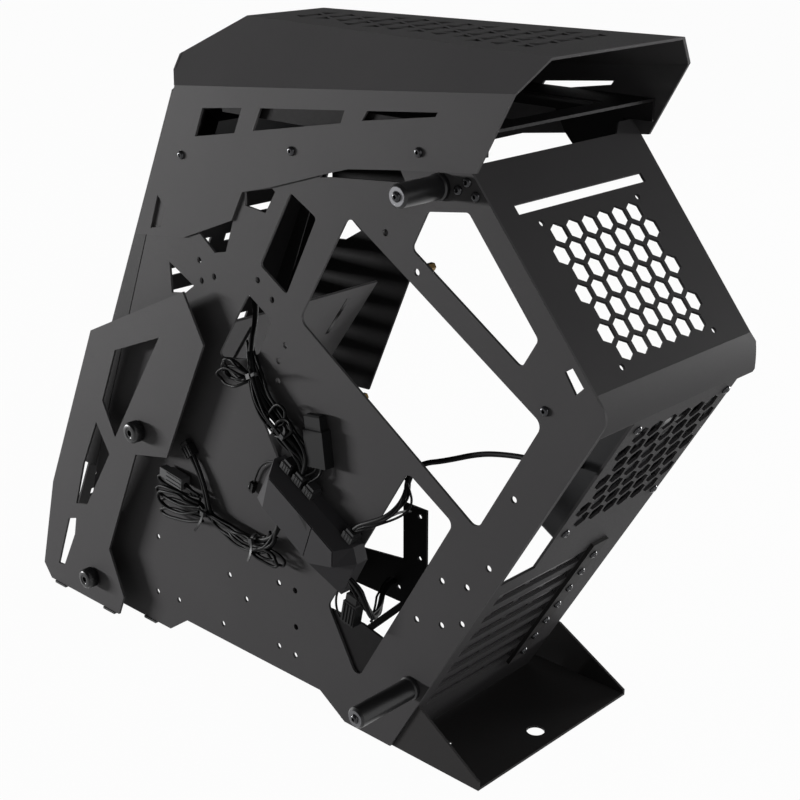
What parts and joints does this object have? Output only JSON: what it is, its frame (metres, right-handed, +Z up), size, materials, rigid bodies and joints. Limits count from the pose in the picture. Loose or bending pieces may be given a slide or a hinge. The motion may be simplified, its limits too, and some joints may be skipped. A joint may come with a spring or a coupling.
{
  "type": "mid tower pc case",
  "caption": "Open-frame computer case of bent black sheet: slanted front, vented roof, angled rear panels with fan mesh and card slots, motherboard tray on plate legs.",
  "frame": {"origin": "on the floor under the middle of the object's box", "axes": "+Z up, +X towards the rear panels, +Y from the cable side to the board side"},
  "size_m": [0.6128, 0.3044, 0.522],
  "materials": {
    "black_sheet": "fine textured black powder coat",
    "black_plastic": "moulded, satin",
    "black_rubber": "moulded, matte",
    "brass_pillars": "turned",
    "cable_sheath": "soft vinyl sheath",
    "black_screws": "black zinc",
    "anodised_bar": "turned, black anodised"
  },
  "bodies": {
    "case": {"board_pillars": "brass_pillars", "cable_hank": "cable_sheath", "controller_hub": "black_plastic", "drive_bracket": "black_sheet", "fan_lead": "cable_sheath", "fan_screws": "black_screws", "far_front_leg": "black_sheet", "far_front_plate": "black_sheet", "far_lower_standoff": "anodised_bar", "far_upper_standoff": "anodised_bar", "front_io_module": "black_plastic", "front_panel": "black_sheet", "front_panel_cable": "cable_sheath", "front_radiator_bracket": "black_sheet", "hub_front_cable": "cable_sheath", "hub_plugs": "black_plastic", "hub_power_cable": "cable_sheath", "leg_knobs": "anodised_bar", "leg_posts": "anodised_bar", "main_tray": "black_sheet", "near_front_leg": "black_sheet", "near_lower_standoff": "anodised_bar", "near_upper_standoff": "anodised_bar", "rear_fan_frame": "black_plastic", "rear_panel": "black_sheet", "rear_stand": "black_sheet", "roof_cover": "black_sheet", "roof_screws": "black_screws", "rubber_feet": "black_rubber", "slot_cover_1": "black_sheet", "slot_cover_2": "black_sheet", "slot_cover_3": "black_sheet", "slot_cover_4": "black_sheet", "slot_cover_5": "black_sheet", "slot_cover_6": "black_sheet", "slot_cover_7": "black_sheet", "slot_retention_bar": "black_sheet", "slot_screws": "black_screws", "standoff_screws": "black_screws", "top_fan_bracket": "black_sheet", "tray_screws": "black_screws"},
    "fan_rotor": {"rear_fan_rotor": "black_plastic"},
    "power_button": {"power_button": "black_plastic"},
    "reset_button": {"reset_button": "black_plastic"}
  },
  "joints": [
    {"name": "fan_spin", "type": "hinge", "parent": "case", "child": "fan_rotor", "pos_m": [0.27117, 0.012, 0.24478], "axis": [0.8607, 0, -0.509], "continuous": true},
    {"name": "power_press", "type": "slide", "parent": "case", "child": "power_button", "axis": [0.9018, 0, -0.4321], "range_m": [0, 0.002], "stiffness_N_per_m": 400},
    {"name": "reset_press", "type": "slide", "parent": "case", "child": "reset_button", "axis": [0.9018, 0, -0.4321], "range_m": [0, 0.002], "stiffness_N_per_m": 400}
  ]
}
